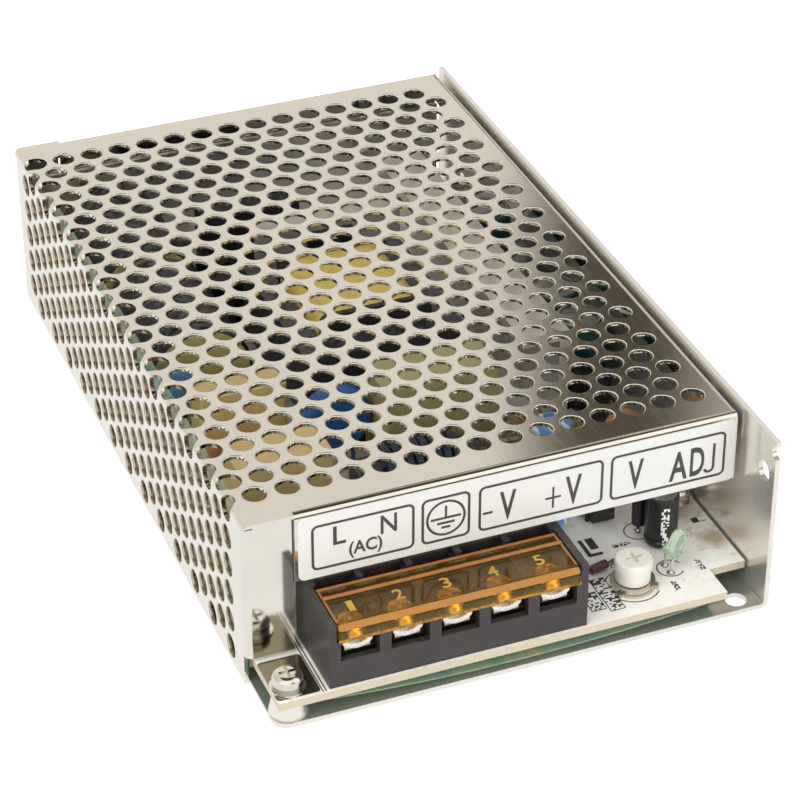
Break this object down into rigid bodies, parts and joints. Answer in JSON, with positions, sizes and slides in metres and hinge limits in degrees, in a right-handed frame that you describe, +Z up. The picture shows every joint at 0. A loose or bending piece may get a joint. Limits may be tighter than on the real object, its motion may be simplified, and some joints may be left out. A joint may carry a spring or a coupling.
{
  "type": "mesh case switching power supply",
  "caption": "Enclosed switching power supply: folded chassis, perforated cover, terminal block with a hinged clear cover, voltage adjuster and lamp.",
  "frame": {"origin": "centre of the case's footprint, on its underside", "axes": "+Z up from the chassis floor, the terminals towards -Y, the chassis's single side wall towards +X"},
  "size_m": [0.098, 0.159, 0.037],
  "materials": {
    "sheet_satin": "satin folded sheet",
    "sheet_perforated": "satin punched sheet",
    "steel_bright": "bright zinc plating",
    "steel_plain": "plain steel",
    "tinned": "tinned",
    "film": "thin clear insulating film",
    "laminate": "cream laminate with tan edges",
    "block_plastic": "moulded black plastic",
    "amber_plastic": "clear amber plastic",
    "tan_plastic": "moulded tan plastic",
    "white_plastic": "moulded white plastic",
    "lamp_lens": "pale green lens",
    "can_black": "black sleeved can",
    "can_green": "dark green sleeved can",
    "sleeve_black": "black sleeve",
    "diode_glass": "small glass body",
    "ferrite": "ferrite",
    "choke_wire": "varnished wire",
    "box_tan": "tan moulded box",
    "box_olive": "olive moulded box",
    "disc_blue": "blue coated disc",
    "disc_black": "black coated disc",
    "disc_brown": "brown coated disc",
    "fuse_tube": "glass tube",
    "moulded_black": "moulded black package",
    "tape_yellow": "yellow tape over the windings",
    "heatsink_plate": "plain aluminium plate",
    "core_yellow": "coated powder core",
    "copper_wire": "varnished copper wire",
    "resistor_coat": "coated resistor body"
  },
  "bodies": {
    "case": {"chassis": "sheet_satin", "perforated_cover": "sheet_perforated", "cover_screws": "steel_bright", "insulating_sheet": "film", "circuit_board": "laminate", "board_screws": "steel_bright", "board_spring_washers": "steel_plain", "board_flat_washers": "steel_bright", "terminal_block": "block_plastic", "terminal_contacts": "tinned", "adjuster_base": "tan_plastic", "indicator_lamp": "lamp_lens", "indicator_leads": "tinned", "front_capacitor": "can_black", "sleeved_resistor": "sleeve_black", "glass_diode": "diode_glass", "filter_choke_core": "ferrite", "filter_choke_windings": "choke_wire", "line_capacitor_front": "box_tan", "line_capacitor_middle": "box_olive", "line_capacitor_rear": "box_tan", "surge_disc": "disc_blue", "inrush_thermistor": "disc_black", "fuse_glass": "fuse_tube", "fuse_caps": "tinned", "bridge_rectifier": "moulded_black", "input_capacitor_front": "can_black", "input_capacitor_rear": "can_black", "transformer_core": "ferrite", "transformer_winding": "tape_yellow", "transformer_bobbin": "moulded_black", "switching_transistor": "moulded_black", "transistor_heatsink": "heatsink_plate", "output_rectifier": "moulded_black", "rectifier_heatsink": "heatsink_plate", "semiconductor_screws": "steel_bright", "output_capacitor_1": "can_green", "output_capacitor_2": "can_green", "output_capacitor_3": "can_green", "output_inductor_core": "core_yellow", "output_inductor_winding": "copper_wire", "optocoupler": "moulded_black", "control_chip": "moulded_black", "safety_disc_capacitors": "disc_brown", "small_capacitors": "can_black", "resistors": "resistor_coat"},
    "terminal_cover": {"terminal_cover": "amber_plastic"},
    "adjuster_knob": {"adjuster_knob": "white_plastic"},
    "clamp_plate_1": {"clamp_plate_1": "steel_bright"},
    "clamp_plate_2": {"clamp_plate_2": "steel_bright"},
    "clamp_plate_3": {"clamp_plate_3": "steel_bright"},
    "clamp_plate_4": {"clamp_plate_4": "steel_bright"},
    "clamp_plate_5": {"clamp_plate_5": "steel_bright"},
    "terminal_screw_1": {"terminal_screw_1": "steel_bright"},
    "terminal_screw_2": {"terminal_screw_2": "steel_bright"},
    "terminal_screw_3": {"terminal_screw_3": "steel_bright"},
    "terminal_screw_4": {"terminal_screw_4": "steel_bright"},
    "terminal_screw_5": {"terminal_screw_5": "steel_bright"}
  },
  "joints": [
    {"name": "terminal_cover_hinge", "type": "hinge", "parent": "case", "child": "terminal_cover", "pos_m": [-0.01285, -0.068, 0.0181], "axis": [-1, 0, 0], "range_deg": [0, 70]},
    {"name": "adjuster_turn", "type": "hinge", "parent": "case", "child": "adjuster_knob", "pos_m": [0.0248, -0.0712, 0.008], "axis": [0, 0, 1], "range_deg": [-135, 135]},
    {"name": "clamp_lift_1", "type": "slide", "parent": "case", "child": "clamp_plate_1", "axis": [0, 0, 1], "range_m": [0, 0.0015]},
    {"name": "screw_turn_1", "type": "hinge", "parent": "clamp_plate_1", "child": "terminal_screw_1", "pos_m": [-0.03185, -0.0739, 0.013], "axis": [0, 0, 1], "range_deg": [0, 1080]},
    {"name": "clamp_lift_2", "type": "slide", "parent": "case", "child": "clamp_plate_2", "axis": [0, 0, 1], "range_m": [0, 0.0015]},
    {"name": "screw_turn_2", "type": "hinge", "parent": "clamp_plate_2", "child": "terminal_screw_2", "pos_m": [-0.02235, -0.0739, 0.013], "axis": [0, 0, 1], "range_deg": [0, 1080]},
    {"name": "clamp_lift_3", "type": "slide", "parent": "case", "child": "clamp_plate_3", "axis": [0, 0, 1], "range_m": [0, 0.0015]},
    {"name": "screw_turn_3", "type": "hinge", "parent": "clamp_plate_3", "child": "terminal_screw_3", "pos_m": [-0.01285, -0.0739, 0.013], "axis": [0, 0, 1], "range_deg": [0, 1080]},
    {"name": "clamp_lift_4", "type": "slide", "parent": "case", "child": "clamp_plate_4", "axis": [0, 0, 1], "range_m": [0, 0.0015]},
    {"name": "screw_turn_4", "type": "hinge", "parent": "clamp_plate_4", "child": "terminal_screw_4", "pos_m": [-0.00335, -0.0739, 0.013], "axis": [0, 0, 1], "range_deg": [0, 1080]},
    {"name": "clamp_lift_5", "type": "slide", "parent": "case", "child": "clamp_plate_5", "axis": [0, 0, 1], "range_m": [0, 0.0015]},
    {"name": "screw_turn_5", "type": "hinge", "parent": "clamp_plate_5", "child": "terminal_screw_5", "pos_m": [0.00615, -0.0739, 0.013], "axis": [0, 0, 1], "range_deg": [0, 1080]}
  ],
  "couplings": [
    {"joint": "screw_turn_1", "follows": "clamp_lift_1", "rad_per_m": 12566},
    {"joint": "screw_turn_2", "follows": "clamp_lift_2", "rad_per_m": 12566},
    {"joint": "screw_turn_3", "follows": "clamp_lift_3", "rad_per_m": 12566},
    {"joint": "screw_turn_4", "follows": "clamp_lift_4", "rad_per_m": 12566},
    {"joint": "screw_turn_5", "follows": "clamp_lift_5", "rad_per_m": 12566}
  ]
}
